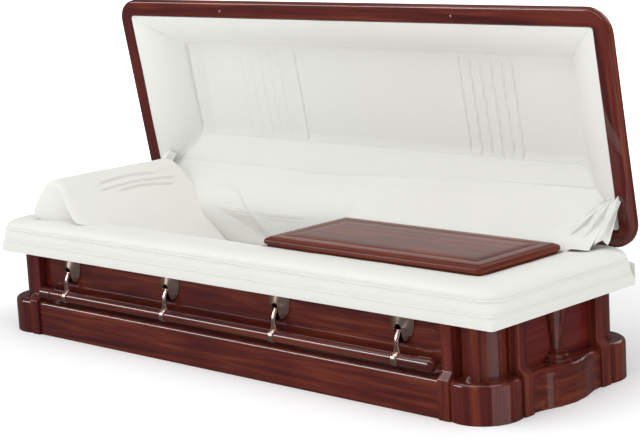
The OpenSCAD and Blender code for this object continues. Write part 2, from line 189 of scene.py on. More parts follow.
def outline(x0, x1, y0, y1, radius, side=40, corner=10):
    """A rounded rectangle as a closed ring of points, anticlockwise from the middle of the low-y side."""
    centres = [(x1 - radius, y0 + radius, -90), (x1 - radius, y1 - radius, 0),
               (x0 + radius, y1 - radius, 90), (x0 + radius, y0 + radius, 180)]
    arcs = []
    for cx, cy, start in centres:
        turn = np.radians(start + np.linspace(0, 90, corner))
        arcs.append(np.stack([cx + radius * np.cos(turn), cy + radius * np.sin(turn)], 1))
    ring = []
    for k, arc in enumerate(arcs):
        before = arcs[k - 1][-1]
        along = np.linspace(0, 1, side + 2)[1:-1, None]
        ring += list(before + (arc[0] - before) * along) + list(arc)
    return np.array(ring)


def outline_marks(side, corner):
    """Places in an outline of the middles of its four corners."""
    step = side + corner
    return [k * step + side + corner // 2 for k in range(4)]


def ring_grain(ring):
    """Distance along a closed ring, out and back, so that the grain has no seam."""
    steps = np.linalg.norm(np.roll(ring, -1, 0) - ring, axis=1)
    along = np.concatenate([[0], np.cumsum(steps)[:-1]])
    return np.minimum(along, steps.sum() - along)


def lid_point(x, u, w):
    """A point of the open lid: u up from the hinge line, w back from the rim's front plane."""
    c, s = math.cos(LID_ANGLE), math.sin(LID_ANGLE)
    x, u, w = np.broadcast_arrays(*(np.asarray(v, float) for v in (x, u, w)))
    return np.stack([x, HINGE_Y - u * c + w * s, HINGE_Z + u * s + w * c], -1)


def ripple(points, scale, seed=0.0):
    """Smooth noise from -1 to 1 at each point."""
    shift = Vector((seed, seed * 1.7, -seed))
    flat = np.asarray(points, float).reshape(-1, 3)
    return np.array([noise.noise(Vector(p) * scale + shift) for p in flat])


def push(obj, amounts):
    """Moves each vertex along its normal."""
    mesh = obj.data
    co = np.empty(len(mesh.vertices) * 3)
    normal = np.empty_like(co)
    mesh.vertices.foreach_get("co", co)
    mesh.vertices.foreach_get("normal", normal)
    co = co.reshape(-1, 3) + normal.reshape(-1, 3) * np.asarray(amounts).reshape(-1, 1)
    mesh.vertices.foreach_set("co", co.ravel())
    mesh.update()


def coords(obj):
    co = np.empty(len(obj.data.vertices) * 3)
    obj.data.vertices.foreach_get("co", co)
    return co.reshape(-1, 3)


def dress(obj, body, material, nodes=()):
    """Gives a piece its material, slot and body, and hides the CAD nodes that it stands for."""
    obj.data.materials.clear()
    obj.data.materials.append(material)
    if nodes:
        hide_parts(*nodes)
    if body:
        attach(obj, body)
    return obj


# ---------------------------------------------------------------- materials

def new_material(name):
    material = bpy.data.materials.new(name)
    material.use_nodes = True
    tree = material.node_tree
    tree.nodes.clear()
    output = tree.nodes.new("ShaderNodeOutputMaterial")
    shader = tree.nodes.new("ShaderNodeBsdfPrincipled")
    tree.links.new(shader.outputs[0], output.inputs[0])
    return material, tree, shader


def add(tree, kind, inputs=None, **settings):
    node = tree.nodes.new("ShaderNode" + kind)
    for key, value in settings.items():
        setattr(node, key, value)
    for key, value in (inputs or {}).items():
        if isinstance(value, bpy.types.NodeSocket):
            tree.links.new(value, node.inputs[key])
        else:
            node.inputs[key].default_value = value
    return node


def ramp(tree, factor, stops):
    node = add(tree, "ValToRGB", {0: factor})
    band = node.color_ramp
    while len(band.elements) < len(stops):
        band.elements.new(0.5)
    for element, (place, colour) in zip(band.elements, stops):
        element.position = place
        element.color = (*colour, 1)
    return node.outputs[0]


# Streaks of grain: slow along the piece, fine across it
GRAIN_SCALE = {"x": (1.3, 34, 34), "y": (34, 1.3, 34), "z": (34, 34, 1.3), "ring": (1.3, 34, 34)}


def wood(name, axis, dark=0.0, border=None, coat=1.0, red=0.0):
    """Gloss red-brown hardwood with streaks along an axis, or along the grain attribute."""
    material, tree, shader = new_material(name)
    if axis == "ring":
        source = add(tree, "Attribute", attribute_name="grain").outputs["Vector"]
    else:
        source = add(tree, "TexCoord").outputs["Object"]
    streaks = add(tree, "Mapping", {0: source, 3: GRAIN_SCALE[axis]}).outputs[0]
    bend = add(tree, "TexNoise", {"Vector": source, "Scale": 3.0, "Detail": 2.0}).outputs["Fac"]
    grain = add(tree, "TexNoise", {"Vector": streaks, "Scale": 1.0, "Detail": 6.0, "Roughness": 0.62,
                                   "Distortion": 1.1}).outputs["Fac"]
    fine = add(tree, "TexNoise", {"Vector": streaks, "Scale": 5.0, "Detail": 3.0}).outputs["Fac"]
    mixed = add(tree, "Math", {0: fine, 1: 0.16, 2: grain}, operation="MULTIPLY_ADD").outputs[0]
    mixed = add(tree, "Math", {0: bend, 1: 0.30, 2: mixed}, operation="MULTIPLY_ADD").outputs[0]
    shade = 1.0 - dark
    stops = [(0.46, (0.030 * shade, 0.0040 * shade, 0.0048 * shade)),
             (0.60, (0.064 * shade, 0.0078 * shade, 0.0070 * shade)),
             (0.74, (0.104 * shade, 0.0130 * shade, 0.0085 * shade)),
             (0.92, (0.190 * shade, 0.0360 * shade, 0.0150 * shade))]
    colour = ramp(tree, mixed, stops)
    if red:
        colour = add(tree, "MixRGB", {0: red, 1: colour, 2: (0.150, 0.0070, 0.0085, 1)}).outputs[0]
    if border:
        colour = border(tree, source, colour, stops)
    tree.links.new(colour, shader.inputs["Base Color"])
    shader.inputs["Roughness"].default_value = 0.32
    shader.inputs["Coat Weight"].default_value = coat
    shader.inputs["Coat Roughness"].default_value = 0.035
    shader.inputs["Coat IOR"].default_value = 1.5
    shader.inputs["Specular IOR Level"].default_value = 0.15
    bump = add(tree, "Bump", {"Height": fine, "Strength": 0.05, "Distance": 0.0006})
    tree.links.new(bump.outputs[0], shader.inputs["Normal"])
    return material


def fabric(name, colour, wear=0.03):
    """Fine crepe: a small irregular crinkle over an even weave."""
    material, tree, shader = new_material(name)
    place = add(tree, "TexCoord").outputs["Object"]
    cloudy = add(tree, "TexNoise", {"Vector": place, "Scale": 6.0, "Detail": 3.0}).outputs["Fac"]
    crinkle = add(tree, "TexNoise", {"Vector": place, "Scale": 420.0, "Detail": 3.0,
                                     "Roughness": 0.6}).outputs["Fac"]
    weave = add(tree, "TexVoronoi", {"Vector": place, "Scale": 900.0}).outputs["Distance"]
    low = tuple(c * (1 - wear) for c in colour)
    tinted = add(tree, "MixRGB", {0: cloudy, 1: (*low, 1), 2: (*colour, 1)}).outputs[0]
    speck = ramp(tree, crinkle, [(0.3, (0.95, 0.95, 0.94)), (0.7, (1, 1, 1))])
    mixed = add(tree, "MixRGB", {0: 1.0, 1: tinted, 2: speck}, blend_type="MULTIPLY").outputs[0]
    tree.links.new(mixed, shader.inputs["Base Color"])
    rough = add(tree, "MapRange", {0: crinkle, 3: 0.78, 4: 0.95}).outputs[0]
    tree.links.new(rough, shader.inputs["Roughness"])
    shader.inputs["Specular IOR Level"].default_value = 0.25
    shader.inputs["Sheen Weight"].default_value = 0.15
    shader.inputs["Sheen Roughness"].default_value = 0.5
    height = add(tree, "Math", {0: weave, 1: 0.5, 2: crinkle}, operation="MULTIPLY_ADD").outputs[0]
    bump = add(tree, "Bump", {"Height": height, "Strength": 0.22, "Distance": 0.0009})
    tree.links.new(bump.outputs[0], shader.inputs["Normal"])
    return material


def metal(name, colour, rough):
    """Polished plated metal with a soft cloudiness."""
    material, tree, shader = new_material(name)
    place = add(tree, "TexCoord").outputs["Object"]
    cloudy = add(tree, "TexNoise", {"Vector": place, "Scale": 22.0, "Detail": 4.0}).outputs["Fac"]
    low = tuple(c * 0.74 for c in colour)
    tinted = add(tree, "MixRGB", {0: cloudy, 1: (*low, 1), 2: (*colour, 1)}).outputs[0]
    tree.links.new(tinted, shader.inputs["Base Color"])
    spread = add(tree, "MapRange", {0: cloudy, 3: rough * 0.8, 4: rough * 1.3}).outputs[0]
    tree.links.new(spread, shader.inputs["Roughness"])
    shader.inputs["Metallic"].default_value = 1.0
    hammered = add(tree, "TexNoise", {"Vector": place, "Scale": 160.0, "Detail": 2.0}).outputs["Fac"]
    bump = add(tree, "Bump", {"Height": hammered, "Strength": 0.06, "Distance": 0.0005})
    tree.links.new(bump.outputs[0], shader.inputs["Normal"])
    return material


def board_field():
    """The sides of the foot board's raised part."""
    return (BOARD[0].x + BOARD_END_IN, BOARD[1].x - BOARD_END_IN,
            BOARD[0].y + BOARD_FRONT_IN, BOARD[1].y - BOARD_BACK_IN)


def banded_board(tree, source, colour, stops):
    """The foot board's mitred border strip, with its grain running along each edge."""
    x0, x1, y0, y1 = board_field()
    middle = ((x0 + x1) / 2, (y0 + y1) / 2, 0)
    half = ((x1 - x0) / 2, (y1 - y0) / 2)
    local = add(tree, "VectorMath", {0: source, 1: middle}, operation="SUBTRACT").outputs[0]
    apart = add(tree, "VectorMath", {0: local}, operation="ABSOLUTE").outputs[0]
    parts = add(tree, "SeparateXYZ", {0: apart}).outputs
    from_end = add(tree, "Math", {0: half[0], 1: parts[0]}, operation="SUBTRACT").outputs[0]
    from_side = add(tree, "Math", {0: half[1], 1: parts[1]}, operation="SUBTRACT").outputs[0]
    nearest = add(tree, "Math", {0: from_end, 1: from_side}, operation="MINIMUM").outputs[0]
    in_border = add(tree, "Math", {0: nearest, 1: STRIP_WIDTH}, operation="LESS_THAN").outputs[0]
    on_end = add(tree, "Math", {0: from_end, 1: from_side}, operation="LESS_THAN").outputs[0]
    across = add(tree, "Mapping", {0: source, 3: GRAIN_SCALE["y"]}).outputs[0]
    end_grain = add(tree, "TexNoise", {"Vector": across, "Scale": 1.0, "Detail": 6.0}).outputs["Fac"]
    end_mixed = add(tree, "Math", {0: end_grain, 1: 1.0, 2: 0.24}, operation="MULTIPLY_ADD").outputs[0]
    end_colour = ramp(tree, end_mixed, stops)
    border = add(tree, "MixRGB", {0: on_end, 1: colour, 2: end_colour}).outputs[0]
    lifted = add(tree, "MixRGB", {0: 0.25, 1: border, 2: (0.20, 0.05, 0.022, 1)}).outputs[0]
    return add(tree, "MixRGB", {0: in_border, 1: colour, 2: lifted}).outputs[0]


WOOD_X = wood("hardwood_along", "x")
WOOD_Y = wood("hardwood_across", "y")
WOOD_Z = wood("hardwood_upright", "z")
WOOD_RING = wood("hardwood_frame", "ring")
WOOD_BAR = wood("hardwood_bar", "x", dark=0.2)
WOOD_BOARD = wood("hardwood_banded", "x", dark=-0.10, border=banded_board, coat=0.10)
WOOD_RED = wood("hardwood_end_panel", "y", red=0.5)
WOOD_VASE = wood("hardwood_vase", "z", dark=0.25)
WOOD_UNDER = wood("hardwood_underside", "x", dark=0.4)
HARDWARE = metal("plated_metal", (0.86, 0.60, 0.51), 0.24)
# Near-black plated metal: painted shade for the deep slot in each ear, not a colour of the metal
SLOT_PAINTED_SHADE = metal("plated_metal_painted_slot_shade", (0.030, 0.018, 0.016), 0.45)
STEEL = metal("hinge_metal", (0.62, 0.50, 0.42), 0.34)
CREPE = fabric("crepe_white", (0.80, 0.80, 0.765))
CREPE_LID = fabric("crepe_lid", (0.80, 0.80, 0.77))
CREPE_WARM = fabric("crepe_pillow", (0.79, 0.785, 0.75))
COTTON = fabric("bed_cotton", (0.78, 0.775, 0.74), 0.05)


# ---------------------------------------------------------------- hard parts

def eased(node, material, width):
    """A copy of a CAD node with its faces cleaned and its edges rounded over."""
    source = frame["nodes"][node]
    obj = bpy.data.objects.new(node + "_finished", source.data.copy())
    bpy.context.collection.objects.link(obj)
    bm = bmesh.new()
    bm.from_mesh(obj.data)
    bmesh.ops.remove_doubles(bm, verts=bm.verts, dist=1e-6)
    bmesh.ops.dissolve_limit(bm, angle_limit=math.radians(0.4), verts=bm.verts, edges=bm.edges)
    bm.to_mesh(obj.data)
    bm.free()
    obj.data.shade_smooth()
    edge = obj.modifiers.new("edges", "BEVEL")
    edge.width = width
    edge.segments = 3
    edge.limit_method = "ANGLE"
    edge.angle_limit = math.radians(32)
    edge.harden_normals = True
    weight = obj.modifiers.new("normals", "WEIGHTED_NORMAL")
    weight.keep_sharp = True
    return dress(obj, body_of(source)[0], material, [node])


def make_woodwork():
    for node in ("front_panel", "back_panel", "front_base_board", "back_base_board", "top_rail"):
        eased(node, WOOD_X, 0.0015)
    for node in ("head_base_board", "foot_base_board"):
        eased(node, WOOD_Y, 0.0015)
    for end in ("head", "foot"):
        eased(end + "_panel", WOOD_RED, 0.0012)
        eased(end + "_vase", WOOD_VASE, 0.0012)
    upright = [f"column_{i}" for i in range(1, 5)] + [f"pilaster_{i}" for i in range(1, 9)]
    for node in upright:
        eased(node, WOOD_Z, 0.0012)
    eased("floor_board", WOOD_UNDER, 0.0015)


def make_foot_board():
    """The moulded foot board: a thin flange, a cove, a rounded nosing and a raised border strip."""
    x0, x1, y0, y1 = board_field()
    top = BOARD[1].z
    rings = []
    for z, ease in ((BOARD[0].z + 0.0002, 0.001), (BOARD[0].z + 0.002, 0.0), (top - 0.0325, 0.0),
                    (top - 0.0310, 0.0012)):
        ring = outline(x0 - 0.011 + ease, x1 + 0.011 - ease, y0 + ease, y1 + 0.012 - ease, 0.010)
        rings.append(np.column_stack([ring, np.full(len(ring), z)]))
    section = [(0.0075, -0.0305), (0.0080, -0.0275), (0.0070, -0.0245), (0.0040, -0.0222), (0.0010, -0.0214),
               (0.0004, -0.0200), (-0.0002, -0.0170), (0.0002, -0.0125), (0.0020, -0.0085), (0.0052, -0.0055),
               (0.0095, -0.0040), (0.0125, -0.0036), (0.0135, -0.0022), (0.0160, -0.0009), (0.0220, -0.0002),
               (0.0440, 0.0000), (0.0470, -0.0004), (0.0478, -0.0012), (0.0488, -0.0012), (0.0500, -0.0003),
               (0.0900, -0.0001)]
    for inset, drop in section:
        ring = outline(x0 + inset, x1 - inset, y0 + inset, y1 - inset, max(0.016 - inset * 0.5, 0.004))
        rings.append(np.column_stack([ring, np.full(len(ring), top + drop)]))
    obj = loft("foot_board_moulded", rings, caps=True)
    auto_smooth(obj, 50)
    dress(obj, "casket", WOOD_BOARD, ["foot_board"])


def lid_ring(inset, w, radius):
    """A rounded outline in the lid's own plane, drawn in from its edge, at a depth w."""
    low, high = LID_BACK + inset, LID_BACK + LID_WIDTH - inset
    ring = outline(-LID_X + inset, LID_X - inset, low, high, radius)
    return lid_point(ring[:, 0], ring[:, 1], w)


def make_lid_frame():
    section = [(0.0000, 0.0070), (0.0010, 0.0035), (0.0035, 0.0010), (0.0070, 0.0000),
               (0.0260, -0.0006), (0.0480, 0.0000), (0.0520, 0.0008), (0.0540, 0.0035),
               (0.0540, 0.0150), (0.0540, EDGE), (0.0300, EDGE), (0.0010, EDGE), (0.0000, 0.0240)]
    rings, grain = [], []
    for inset, w in section:
        radius = max(0.080 - inset, 0.0) * (1 - inset / RIM) + 0.012 * inset / RIM
        ring = lid_ring(inset, w, radius)
        rings.append(ring)
        along = ring_grain(rings[0])
        grain += [(a, inset, w) for a in along]
    obj = loft("lid_rim", rings, close_rows=True, grain=grain)
    auto_smooth(obj, 40)
    dress(obj, "lid", WOOD_RING, ["lid_frame"])


def auto_smooth(obj, degrees):
    obj.data.set_sharp_from_angle(angle=math.radians(degrees))


def make_lid_crown():
    """The lid's outside: a cove and ogee moulding under a low panelled dome."""
    outside = [(0.003, 0.0252), (0.003, 0.030), (0.007, 0.0335), (0.013, 0.0355), (0.017, 0.040),
               (0.023, 0.049), (0.033, 0.060), (0.047, 0.070), (0.062, 0.077), (0.074, 0.080),
               (0.080, 0.0815), (0.082, 0.0865), (0.086, 0.089), (0.104, 0.098), (0.128, 0.111),
               (0.152, 0.1235), (0.174, 0.133), (0.180, 0.1352), (0.1825, 0.1392), (0.190, 0.141),
               (0.215, 0.1445), (0.250, 0.148), (0.290, 0.1492), (0.330, 0.1497)]
    thickness = 0.006
    inside = [(inset + thickness * 0.7, w - thickness * 0.8) for inset, w in outside[5:-1]]
    inside = [(0.018, 0.0252)] + inside
    rings, grain = [], []
    for inset, w in outside + inside[::-1]:
        rings.append(lid_ring(inset, w, max(0.080 - inset, 0.012)))
        grain += [(a, inset, w) for a in ring_grain(lid_ring(0.0, 0.0, 0.08))]
    # The skin runs from the inside's edge round the rim, and its two middles close the dome
    count = len(outside)
    order = list(range(count - 1, -1, -1)) + list(range(len(rings) - 1, count - 1, -1))
    rings = [rings[k] for k in order]
    cols = len(rings[0])
    grain = np.array(grain).reshape(-1, cols, 3)[order].reshape(-1, 3)
    obj = loft("lid_top", rings, caps=True, grain=grain)
    auto_smooth(obj, 38)
    dress(obj, "lid", WOOD_RING, ["lid_crown"])


def curve_points(controls, count):
    """A smooth curve through control points."""
    controls = np.asarray(controls, float)
    padded = np.vstack([2 * controls[0] - controls[1], controls, 2 * controls[-1] - controls[-2]])
    result = []
    spans = len(controls) - 1
    for s in np.linspace(0, spans, count):
        k = min(int(s), spans - 1)
        t = s - k
        p0, p1, p2, p3 = padded[k:k + 4]
        result.append(0.5 * (2 * p1 + (p2 - p0) * t + (2 * p0 - 5 * p1 + 4 * p2 - p3) * t * t
                             + (3 * p1 - p0 - 3 * p2 + p3) * t ** 3))
    return np.array(result)


def swept_arm(x, side, bar_y, bar_z, pivot_y, pivot_z):
    """A curved strap from the pivot pin to the ring, as closed rings of points."""
    path = curve_points([(pivot_y + 0.006, pivot_z + 0.004), (pivot_y + 0.013, pivot_z - 0.008),
                         (pivot_y + 0.019, pivot_z - 0.022), (bar_y, bar_z + 0.039),
                         (bar_y, bar_z + 0.028), (bar_y, bar_z + 0.016)], 26)
    rings = []
    angle = np.linspace(0, 2 * np.pi, 20, endpoint=False)
    across = np.cos(angle)
    out = np.sin(angle)
    for k, (y, z) in enumerate(path):
        t = k / (len(path) - 1)
        before, after = path[max(k - 1, 0)], path[min(k + 1, len(path) - 1)]
        tangent = (after - before) / np.linalg.norm(after - before)
        normal = np.array([-tangent[1], tangent[0]])
        half = float(np.interp(t, (0, 0.35, 0.60, 0.82, 1), (0.0080, 0.0076, 0.0074, 0.0105, 0.0125)))
        thick = 0.0058 - 0.0010 * t
        px = x + half * np.sign(across) * np.abs(across) ** 0.8
        off = thick * np.sign(out) * np.abs(out) ** 0.8
        rings.append(np.stack([px, side * (y + normal[0] * off), z + normal[1] * off], 1))
    return np.array(rings)


def lathe_x(profile, x, y, z, count):
    """Rings about an axis along X through (y, z); profile is (x offset, radius)."""
    angle = np.linspace(0, 2 * np.pi, count, endpoint=False)
    return np.array([[(x + dx, y + r * math.cos(a), z + r * math.sin(a)) for a in angle]
                     for dx, r in profile])


def join(name, parts):
    """Several closed skins as one piece."""
    bpy.ops.object.select_all(action="DESELECT")
    for part in parts:
        part.select_set(True)
    bpy.context.view_layer.objects.active = parts[0]
    bpy.ops.object.join()
    parts[0].name = name
    return parts[0]


def make_ear(node, side, pivot_z):
    """A domed shield on the panel, with an arched slot for its arm; the slot's floor is painted near-black as
    painted shade.
    """
    low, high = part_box(node)
    x = (low.x + high.x) / 2
    back = min(abs(low.y), abs(high.y))
    slot_half, slot_floor, rim = 0.0118, 0.003, 0.0035
    # Above the pivot pin: where the slot's arch springs, and the top of the painted shade in its hollow
    spring, painted_shade_top = 0.011, 0.023
    # Height above the pin, half the shield's width there, and how far it swells out
    heights = [-0.036, -0.028, -0.010, 0.012, 0.045, 0.056]
    halves = [0.012, 0.022, 0.035, 0.043, 0.046, 0.041]
    swells = [0.008, 0.016, 0.024, 0.026, 0.018, 0.012]
    rings = []
    for z in np.linspace(low.z, high.z, 44):
        half = float(np.interp(z - pivot_z, heights, halves))
        above = max(z - pivot_z - spring, 0) / slot_half
        slot = slot_half * math.sqrt(max(1 - above * above, 0)) + 0.0002
        in_slot = above < 1
        wing = np.linspace(1, 0, 12) ** 0.8
        swell = float(np.interp(z - pivot_z, heights, swells))
        left = -(slot + (half - slot) * wing)
        middle = np.array([-slot, 0.0, slot])
        front = np.concatenate([left, middle, -left[::-1]])
        foot = np.linspace(half, -half, 6)
        dome = rim + (swell - rim) * (1 - np.abs(front / half) ** 1.5)
        if in_slot:
            dome[len(left):len(left) + len(middle)] = slot_floor
        px = np.concatenate([front, foot])
        depth = np.concatenate([dome, np.zeros(len(foot))])
        rings.append(np.column_stack([x + px, side * (back + depth), np.full(len(px), z)]))
    obj = loft(node + "_cast", rings, caps=True)
    auto_smooth(obj, 42)
    dress(obj, "casket", HARDWARE, [node])
    # The second material is the near-black painted shade, given to the faces on the slot's floor
    obj.data.materials.append(SLOT_PAINTED_SHADE)
    for face in obj.data.polygons:
        deep = abs(face.center.y) < back + slot_floor + 0.012
        in_slot = abs(face.center.x - x) < slot_half * 0.999 and face.center.z < pivot_z + painted_shade_top
        if deep and in_slot and abs(face.center.y) > back + 0.0005:
            face.material_index = 1


def make_handles():
    # The pins' line: distance out from the middle, and height
    pivot_out, pivot_z = 0.3135, 0.223
    # The rings clear the bar by a hair
    hole_gap = 0.00006
    bar_y, bar_z = (BAR[0].y + BAR[1].y) / 2, (BAR[0].z + BAR[1].z) / 2
    bar_r = (BAR[1].z - BAR[0].z) / 2
    for label, side in (("front", -1), ("back", 1)):
        body = label + "_handle"
        for i in range(1, 5):
            node = f"{label}_arm_{i}"
            low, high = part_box(node)
            x = (low.x + high.x) / 2
            strap = loft(node + "_strap", swept_arm(x, side, -bar_y, bar_z, pivot_out, pivot_z), caps=True)
            hole = bar_r + hole_gap
            ring = loft(node + "_ring", lathe_x(
                [(-0.0105, hole), (-0.0112, hole + 0.0012), (-0.0105, hole + 0.0026),
                 (-0.0080, hole + 0.0034), (0.0, hole + 0.0040), (0.0080, hole + 0.0034),
                 (0.0105, hole + 0.0026), (0.0112, hole + 0.0012), (0.0105, hole)],
                x, side * -bar_y, bar_z, 64), close_rows=True)
            eye = loft(node + "_eye", lathe_x(
                [(-0.0070, 0.0031), (-0.0072, 0.0052), (-0.0055, 0.0065), (0.0055, 0.0065),
                 (0.0072, 0.0052), (0.0070, 0.0031)], x, side * pivot_out, pivot_z, 32), close_rows=True)
            piece = join(node + "_cast", [strap, ring, eye])
            auto_smooth(piece, 50)
            dress(piece, body, HARDWARE, [node])
            make_ear(f"{label}_ear_{i}", side, pivot_z)
        eased(label + "_bar", WOOD_BAR, 0.0006)
        for end in ("head", "foot"):
            eased(f"{label}_cap_{end}", WOOD_BAR, 0.0010)


def make_hinges():
    for i in range(1, 4):
        eased(f"hinge_body_{i}", STEEL, 0.0006)
        eased(f"hinge_lid_{i}", STEEL, 0.0006)


def make_bumpers():
    """Two small round stops let into the lid's front rim."""
    profile = [(0.0030, 0.0000), (0.0042, -0.0012), (0.0040, -0.0022), (0.0024, -0.0034),
               (0.0006, -0.0040)]
    height = LID_BACK + LID_WIDTH - 0.030
    angle = np.linspace(0, 2 * np.pi, 24, endpoint=False)
    for k, x in enumerate((-0.528, 0.486)):
        rings = [lid_point(x + r * np.cos(angle), height + r * np.sin(angle), w + 0.0006)
                 for r, w in profile]
        obj = loft(f"lid_stop_{k + 1}", rings, caps=True)
        dress(obj, "lid", STEEL)


# ---------------------------------------------------------------- fabric interior

# The opening in the padded roll; points along a side and round a corner of the lid's border;
# the heights of the roll's crown and of its inner edge
MOUTH = {"x0": -0.930, "x1": 0.895, "y0": -0.160, "y1": 0.245}
MOUTH_RADIUS = 0.045
LID_SIDE, LID_CORNER = 60, 13
ROLL_TOP = 0.376
SHELF = 0.368


def body_ring(inset, radius):
    """An outline drawn in from the apron's outer edge."""
    return outline(APRON[0].x + inset, APRON[1].x - inset, APRON[0].y + inset, APRON[1].y - inset * 0.3,
                   radius, side=90, corner=12)


def mouth_ring(grow):
    return outline(MOUTH["x0"] - grow, MOUTH["x1"] + grow, MOUTH["y0"] - grow, MOUTH["y1"] + grow,
                   MOUTH_RADIUS, side=90, corner=12)


def welt(height, radius):
    """The thin cord sewn into a seam, as steps of the apron's outside."""
    turns = np.linspace(0.15, math.pi - 0.15, 7)
    return [(0.0006 - 0.0030 * math.sin(a), height - 0.0021 * math.cos(a), radius) for a in turns]


def make_apron():
    """The padded roll on the rail, with a welted apron hanging over the front and both ends."""
    hem, top = APRON[0].z, RAIL[1].z
    welt_2, welt_1 = 0.307, 0.348
    # Outside, from the hem up: inset, height, corner radius
    tiers = [(0.0050, hem + 0.0012, 0.010), (0.0010, hem + 0.0002, 0.010), (-0.0002, hem + 0.002, 0.011),
             (-0.0006, hem + 0.006, 0.012), (-0.0016, hem + 0.018, 0.018), (-0.0012, hem + 0.028, 0.026),
             (0.0006, welt_2 - 0.0032, 0.031)]
    tiers += welt(welt_2, 0.034)
    tiers += [(0.0006, welt_2 + 0.0032, 0.037), (-0.0016, welt_2 + 0.011, 0.044),
              (-0.0018, welt_2 + 0.021, 0.050), (-0.0010, welt_2 + 0.031, 0.056),
              (0.0010, welt_1 - 0.0032, 0.060)]
    tiers += welt(welt_1, 0.063)
    tiers += [(0.0014, welt_1 + 0.0032, 0.066), (-0.0006, welt_1 + 0.0085, 0.069),
              (0.0006, welt_1 + 0.0150, 0.072), (0.0062, welt_1 + 0.0208, 0.075),
              (0.0160, welt_1 + 0.0252, 0.078), (0.0300, welt_1 + 0.0276, 0.080)]
    rings = []
    for inset, z, radius in tiers:
        ring = body_ring(inset, radius)
        back_side = ring[:, 1] > APRON[1].y - 0.004
        height = np.full(len(ring), z)
        height[back_side] = np.maximum(z, top - 0.004 + (z - hem) * 0.10) if z < top else z
        rings.append(np.column_stack([ring, height]))
    outer = body_ring(0.030, 0.080)
    inner = mouth_ring(0.0)
    for t in np.linspace(0.08, 0.94, 16):
        flat = outer + (inner - outer) * t
        z = ROLL_TOP + (SHELF - ROLL_TOP) * smooth_step(0.1, 0.75, t) + 0.0015 * math.sin(math.pi * t)
        rings.append(np.column_stack([flat, np.full(len(flat), float(z))]))
    for grow, z in ((0.0030, 0.3655), (0.0006, 0.3610), (0.0, 0.3540), (0.0020, 0.3440), (0.0060, 0.3390),
                    (0.020, top + 0.0010)):
        flat = mouth_ring(grow)
        rings.append(np.column_stack([flat, np.full(len(flat), z)]))
    inner_wall = body_ring(0.0062, 0.050)
    inner_wall[:, 1] = np.minimum(inner_wall[:, 1], RAIL[1].y - 0.001)
    rings.append(np.column_stack([inner_wall, np.full(len(inner_wall), top + 0.0010)]))
    lower = np.full(len(inner_wall), hem + 0.0030)
    lower[back_side] = top + 0.0004
    low_wall = body_ring(0.0060, 0.012)
    low_wall[:, 1] = np.minimum(low_wall[:, 1], RAIL[1].y - 0.001)
    rings.append(np.column_stack([low_wall, lower]))
    obj = loft("apron_and_roll", rings, close_rows=True)
    auto_smooth(obj, 55)
    co = coords(obj)
    on_top = smooth_step(0.352, 0.366, co[:, 2])
    soft = ripple(co, 5.0, 3.0) * 0.0016 + ripple(co, 14.0, 8.0) * 0.0007
    skirt_zone = (1 - on_top) * smooth_step(hem, hem + 0.01, co[:, 2])
    hang = ripple(co * np.array([1, 1, 0.35]), 9.0, 5.0) * 0.0011
    corner = puckers(co)
    push(obj, soft * on_top + hang * skirt_zone + corner)
    dress(obj, None, CREPE, ["apron"])
    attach(obj, "casket")
    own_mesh(obj)


def puckers(co):
    """Small gathers in the roll round each corner."""
    amount = np.zeros(len(co))
    for sx in (-1, 1):
        for sy in (-1, 1):
            cx, cy = sx * (APRON[1].x - 0.080), (APRON[0].y + 0.080 if sy < 0 else APRON[1].y - 0.030)
            dx, dy = co[:, 0] - cx, co[:, 1] - cy
            inside = smooth_step(0.0, 0.02, sx * dx) * smooth_step(0.0, 0.02, sy * dy)
            turn = np.arctan2(np.abs(dy), np.abs(dx))
            amount += inside * 0.0012 * np.sin(turn * 16) * smooth_step(0.350, 0.372, co[:, 2])
    return amount


def lid_inner(t):
    """A ring of the lid's padded border: t is 0 at the rim and 1 at its inner edge."""
    outer = outline(-0.9975, 0.9975, 0.0635, 0.6725, 0.012, LID_SIDE, LID_CORNER)
    inner = outline(-0.850, 0.850, 0.213, 0.557, 0.020, LID_SIDE, LID_CORNER)
    return outer + (inner - outer) * t


def make_lid_border():
    """The lid's padded border, sewn in mitres at its four corners."""
    steps = [(t, 0.004 + 0.088 * (t - 0.17 * math.sin(math.pi * t))) for t in np.linspace(0, 1, 22)]
    steps += [(1.014, 0.0975), (1.016, 0.104), (1.004, 0.110), (0.975, 0.1145), (0.930, 0.1180)]
    back = [(0.90, 0.1225), (0.60, 0.092), (0.30, 0.052), (0.04, 0.014), (0.0, 0.009)]
    corners = outline_marks(LID_SIDE, LID_CORNER)
    rings = []
    for k, (t, w) in enumerate(steps + back):
        flat = lid_inner(t)
        depth = np.full(len(flat), w)
        if k < len(steps):
            reach = math.sin(math.pi * min(t, 1))
            low = 1 - smooth_step(0.12, 0.32, flat[:, 1])
            depth = depth + low * 0.018 * smooth_step(0.5, 1.0, t)
            for mark in corners:
                for offset, share in ((0, 1.0), (-1, 0.35), (1, 0.35)):
                    depth[mark + offset] += share * (0.0016 + 0.0016 * reach)
                    bow = 0.010 * reach
                    flat[mark + offset, 0] += math.copysign(bow, flat[mark, 0]) * -0.5
            sag = 0.0012 * reach
            depth = depth + sag * np.sin(flat[:, 0] * 9 + 1.0) + sag * np.sin(flat[:, 1] * 14)
        rings.append(lid_point(flat[:, 0], flat[:, 1], depth))
    obj = loft("lid_border", rings, close_rows=True)
    push(obj, ripple(coords(obj), 7.0, 11.0) * 0.0012)
    auto_smooth(obj, 70)
    dress(obj, "lid", CREPE_LID, ["lid_lining"])


# Sewn tucks in the lid's panel: place along the lid, height of the fold, how wavy it is
TUCKS = [(-0.603, 0.0016, 0.6), (-0.557, 0.0018, 0.9), (-0.510, 0.0020, 0.9), (-0.466, 0.0020, 1.0),
         (-0.421, 0.0018, 0.8), (-0.341, 0.0046, 0.3),
         (0.376, 0.0042, 0.6), (0.420, 0.0042, 1.0), (0.462, 0.0042, 1.1), (0.504, 0.0042, 1.1),
         (0.545, 0.0040, 1.0), (0.585, 0.0044, 0.7)]


